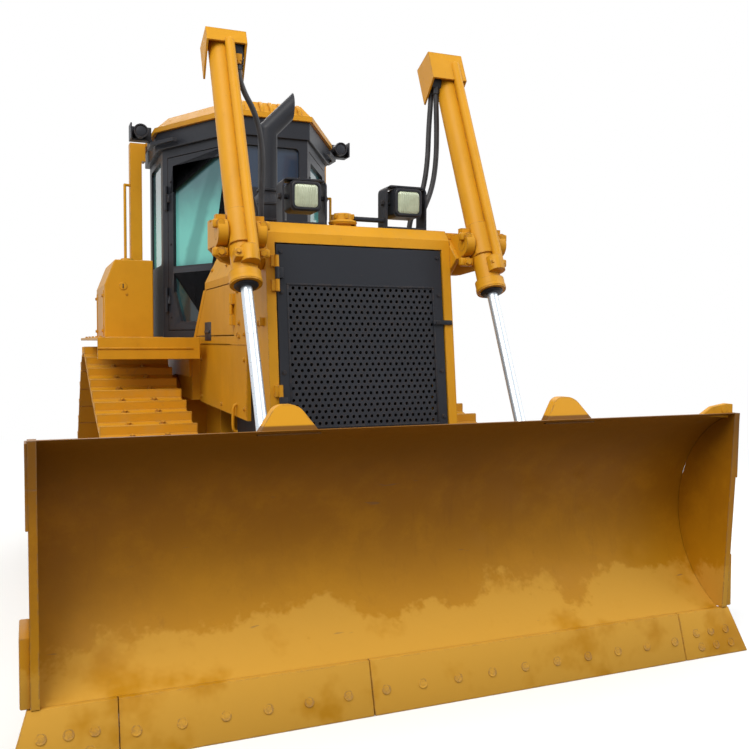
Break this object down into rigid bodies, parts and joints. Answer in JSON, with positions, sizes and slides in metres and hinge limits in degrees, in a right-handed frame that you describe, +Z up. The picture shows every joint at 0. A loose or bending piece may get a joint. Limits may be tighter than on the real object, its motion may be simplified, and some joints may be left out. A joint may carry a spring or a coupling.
{
  "type": "crawler bulldozer",
  "caption": "Crawler bulldozer with a straight lifting blade, two lift cylinders in front, an enclosed cab, opening side doors and raised rear track sprockets.",
  "frame": {"origin": "on the ground below the middle of the whole machine's box", "axes": "+Z up, -Y forward towards the blade, +X towards the machine's left side"},
  "size_m": [3.36, 4.797, 3.194],
  "materials": {
    "yellow_paint": "semi-gloss, dusty",
    "dark_paint": "satin",
    "track_steel": "painted, worn bare on the lugs",
    "worn_steel": "worn",
    "chrome_rod": "polished",
    "cab_glazing": "clear, blue-green",
    "hose_rubber": "matte",
    "seat_cloth": "woven",
    "console_plastic": "grained"
  },
  "bodies": {
    "tractor": {"battery_box": "yellow_paint", "cab_frame": "dark_paint", "cab_glass": "cab_glazing", "cab_roof": "yellow_paint", "console": "console_plastic", "cowl": "yellow_paint", "drawbar": "dark_paint", "engine_block": "dark_paint", "exhaust_stack": "dark_paint", "fenders": "yellow_paint", "fuel_tank": "yellow_paint", "hood": "yellow_paint", "hose_left_front": "hose_rubber", "hose_left_rear": "hose_rubber", "hose_right_front": "hose_rubber", "hose_right_rear": "hose_rubber", "hydraulic_tank": "yellow_paint", "lamps": "dark_paint", "main_frame": "yellow_paint", "radiator_core": "dark_paint", "radiator_guard": "yellow_paint", "rollers": "worn_steel", "rops_posts": "yellow_paint", "seat_cushions": "seat_cloth", "seat_frame": "yellow_paint", "side_sheets": "yellow_paint", "sprockets": "worn_steel", "track_frame_left": "yellow_paint", "track_frame_right": "yellow_paint", "track_left": "track_steel", "track_right": "track_steel", "work_lamps": "dark_paint", "yokes": "yellow_paint"},
    "blade": {"moldboard": "yellow_paint", "cutting_edges": "yellow_paint", "push_arm_left": "yellow_paint", "push_arm_right": "yellow_paint", "brace": "yellow_paint", "tilt_cylinder": "yellow_paint"},
    "lift_barrel_left": {"lift_barrel_left": "yellow_paint"},
    "lift_barrel_right": {"lift_barrel_right": "yellow_paint"},
    "lift_rod_left": {"lift_rod_left": "chrome_rod"},
    "lift_rod_right": {"lift_rod_right": "chrome_rod"},
    "grille_door": {"grille_door": "dark_paint"},
    "engine_door_left": {"engine_door_left": "yellow_paint"},
    "engine_door_right": {"engine_door_right": "yellow_paint"},
    "cab_door_left": {"cab_door_left": "dark_paint", "door_glass_left": "cab_glazing"},
    "cab_door_right": {"cab_door_right": "dark_paint", "door_glass_right": "cab_glazing"}
  },
  "joints": [
    {"name": "blade_lift", "type": "hinge", "parent": "tractor", "child": "blade", "pos_m": [0, 0.5585, 0.48], "axis": [-1, 0, 0], "range_deg": [-9.07, 17.9]},
    {"name": "lift_barrel_left_pivot", "type": "hinge", "parent": "tractor", "child": "lift_barrel_left", "pos_m": [0.65, -1.5395, 2.033], "axis": [-1, 0, 0], "range_deg": [-4.6, 9.1], "deforming": ["hose_left_front", "hose_left_rear"]},
    {"name": "lift_barrel_right_pivot", "type": "hinge", "parent": "tractor", "child": "lift_barrel_right", "pos_m": [-0.65, -1.5395, 2.033], "axis": [-1, 0, 0], "range_deg": [-4.6, 9.1], "deforming": ["hose_right_front", "hose_right_rear"]},
    {"name": "lift_rod_left_slide", "type": "slide", "parent": "lift_barrel_left", "child": "lift_rod_left", "axis": [0, -0.4022, -0.9155], "range_m": [-0.81, 0.41]},
    {"name": "lift_rod_right_slide", "type": "slide", "parent": "lift_barrel_right", "child": "lift_rod_right", "axis": [0, -0.4022, -0.9155], "range_m": [-0.81, 0.41]},
    {"name": "grille_door_hinge", "type": "hinge", "parent": "tractor", "child": "grille_door", "pos_m": [-0.455, -1.57076, 1.07], "axis": [0, 0.1113, 0.9938], "range_deg": [-43, 0]},
    {"name": "engine_door_left_hinge", "type": "hinge", "parent": "tractor", "child": "engine_door_left", "pos_m": [0.517, -0.7285, 1.7], "axis": [0, 0, 1], "range_deg": [-90, 0]},
    {"name": "engine_door_right_hinge", "type": "hinge", "parent": "tractor", "child": "engine_door_right", "pos_m": [-0.517, -0.7285, 1.7], "axis": [0, 0, 1], "range_deg": [0, 90]},
    {"name": "cab_door_left_hinge", "type": "hinge", "parent": "tractor", "child": "cab_door_left", "pos_m": [0.62598, 0.94477, 2.2], "axis": [0, 0, 1], "range_deg": [0, 100]},
    {"name": "cab_door_right_hinge", "type": "hinge", "parent": "tractor", "child": "cab_door_right", "pos_m": [-0.62598, 0.94477, 2.2], "axis": [0, 0, 1], "range_deg": [-100, 0]}
  ],
  "couplings": [
    {"joint": "lift_barrel_left_pivot", "follows": "blade_lift", "ratio": 0.50215},
    {"joint": "lift_rod_left_slide", "follows": "blade_lift", "m_per_rad": -2.56},
    {"joint": "lift_barrel_right_pivot", "follows": "blade_lift", "ratio": 0.50215},
    {"joint": "lift_rod_right_slide", "follows": "blade_lift", "m_per_rad": -2.56}
  ]
}
